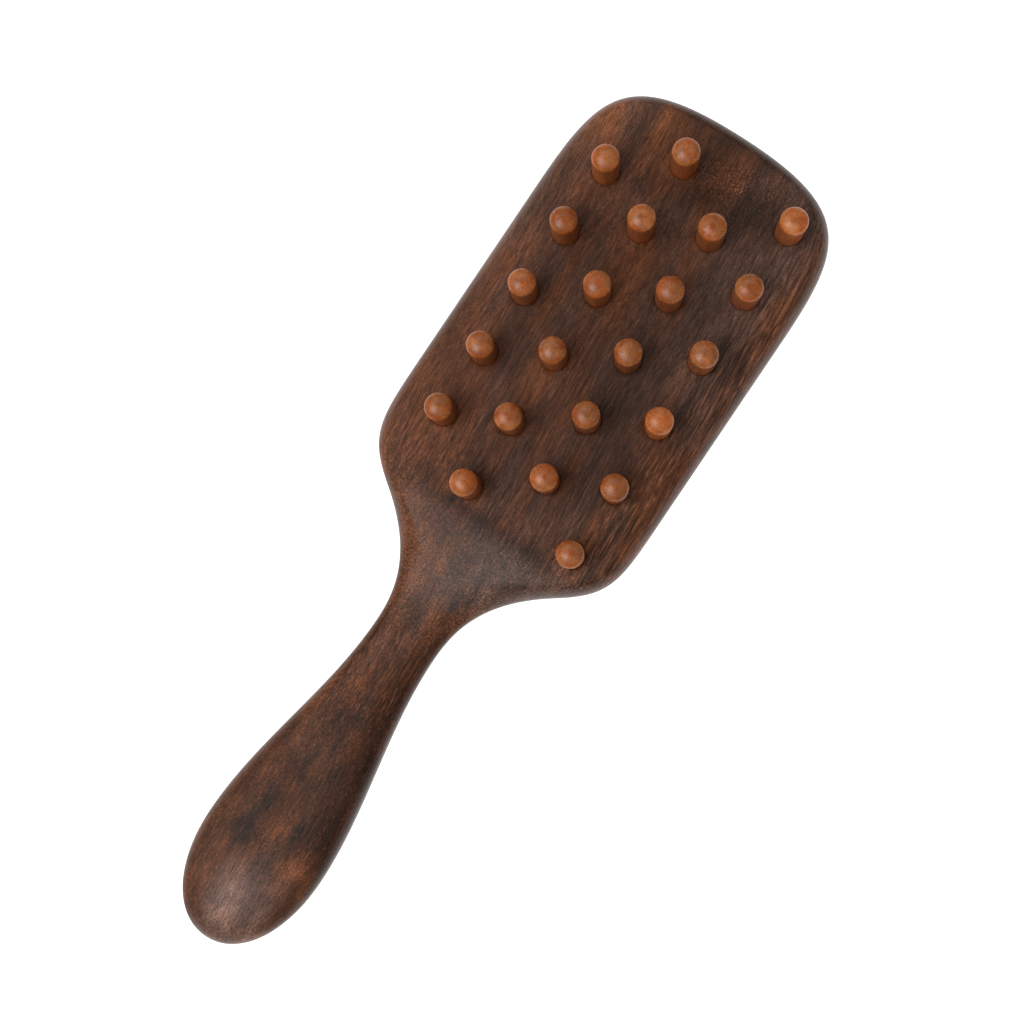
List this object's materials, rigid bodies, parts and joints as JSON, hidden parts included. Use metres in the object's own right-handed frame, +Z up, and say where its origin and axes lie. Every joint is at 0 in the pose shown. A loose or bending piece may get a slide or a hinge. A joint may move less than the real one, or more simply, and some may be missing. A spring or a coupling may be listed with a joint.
{
  "type": "scalp massager brush",
  "caption": "Wooden scalp massage brush: a flat rounded paddle, waisted neck and bulb grip in one piece, with staggered columns of short round pegs with domed tips.",
  "frame": {"origin": "on the surface that the brush lies on, under the middle of its length and on its centre line", "axes": "+Y along the brush to the tip of its head, +Z up out of the face that the pegs stand on, +X to the right when seen from the pegs' side with the head up"},
  "size_m": [0.0746, 0.245, 0.0275],
  "materials": {
    "body_wood": "satin lacquer",
    "peg_wood": "satin lacquer"
  },
  "bodies": {
    "root": {"paddle_body": "body_wood", "peg_a1": "peg_wood", "peg_a2": "peg_wood", "peg_a3": "peg_wood", "peg_a4": "peg_wood", "peg_a5": "peg_wood", "peg_b1": "peg_wood", "peg_b2": "peg_wood", "peg_b3": "peg_wood", "peg_b4": "peg_wood", "peg_b5": "peg_wood", "peg_b6": "peg_wood", "peg_c1": "peg_wood", "peg_c2": "peg_wood", "peg_c3": "peg_wood", "peg_c4": "peg_wood", "peg_c5": "peg_wood", "peg_d1": "peg_wood", "peg_d2": "peg_wood", "peg_d3": "peg_wood", "peg_d4": "peg_wood", "peg_d5": "peg_wood", "peg_d6": "peg_wood"}
  },
  "joints": []
}
